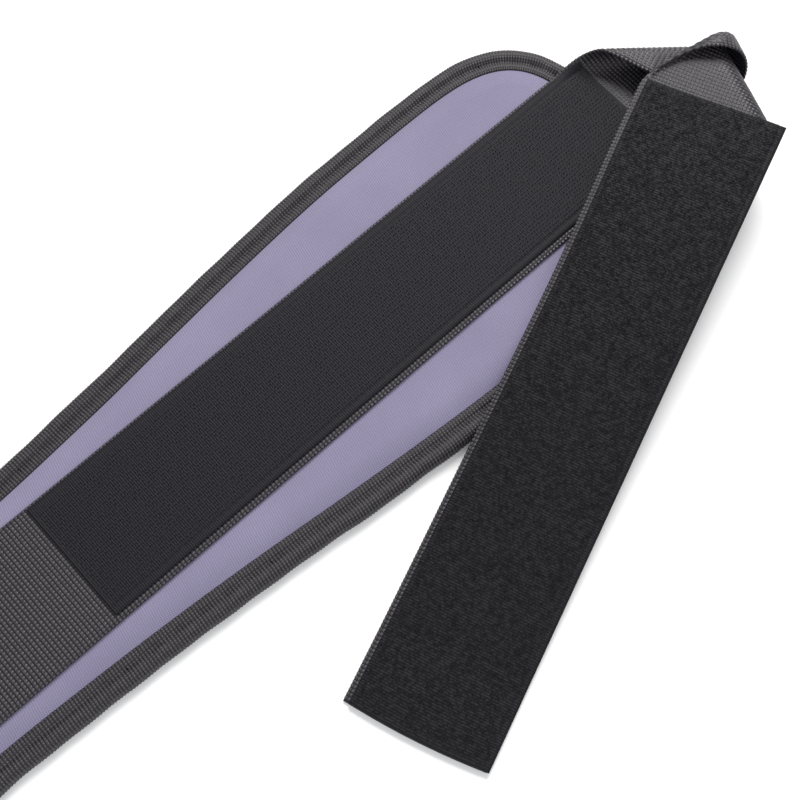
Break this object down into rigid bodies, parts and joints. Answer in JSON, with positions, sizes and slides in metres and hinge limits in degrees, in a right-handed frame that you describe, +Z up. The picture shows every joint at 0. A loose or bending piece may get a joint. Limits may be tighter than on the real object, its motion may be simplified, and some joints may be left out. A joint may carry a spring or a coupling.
{
  "type": "weightlifting belt",
  "caption": "Contoured padded lifting belt lying outer side up, its webbing strap folded back with hook and loop tapes showing, ring buckle at the far end.",
  "frame": {"origin": "middle of the padded panel's flat underside, on the surface that the belt rests on", "axes": "+X along the belt towards the end with the folded strap, +Z up, out of the belt's outer side"},
  "size_m": [1.0729, 0.292, 0.0434],
  "materials": {
    "jersey": "matt knitted cover, lilac grey",
    "binding": "ribbed binding tape, near black",
    "webbing": "ribbed webbing, near black",
    "hook_tape": "hook tape, blue black",
    "loop_tape": "brushed loop tape, blue black",
    "ring_steel": "plain satin steel"
  },
  "bodies": {
    "root": {"padded_panel": "jersey", "edge_binding": "binding", "webbing_strap": "webbing", "hook_patch": "hook_tape", "loop_patch": "loop_tape", "buckle_ring": "ring_steel"}
  },
  "joints": []
}
